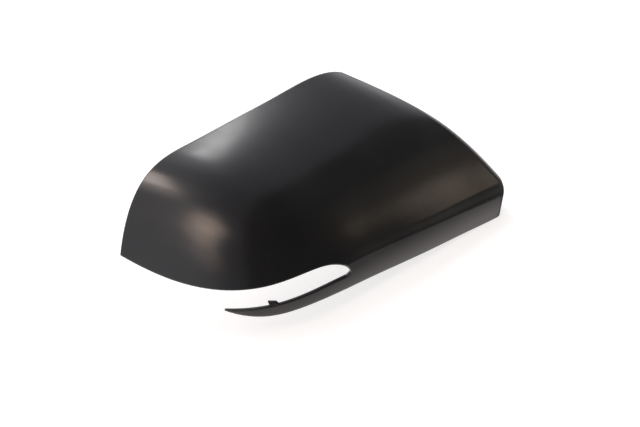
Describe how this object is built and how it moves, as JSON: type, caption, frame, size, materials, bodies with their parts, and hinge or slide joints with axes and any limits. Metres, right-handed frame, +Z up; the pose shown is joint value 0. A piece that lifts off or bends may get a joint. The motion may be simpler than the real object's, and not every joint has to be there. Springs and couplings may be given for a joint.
{
  "type": "wing mirror cover",
  "caption": "Moulded black cap for the front of a car's right-hand door mirror: a rounded thin shell with a lamp slot over a free strip, snap claws and locating pins inside.",
  "frame": {"origin": "on the seat plane of the rear rim, inside the thickness of the rim's top wall, near the middle of the cover's length", "axes": "+X towards the door along the cover's length, -Y forwards in the car's direction of travel, +Y out of the open rear, +Z up"},
  "size_m": [0.2663, 0.1098, 0.0963],
  "materials": {
    "cover_plastic": "satin black moulded plastic"
  },
  "bodies": {
    "root": {"mirror_cover": "cover_plastic"}
  },
  "joints": []
}
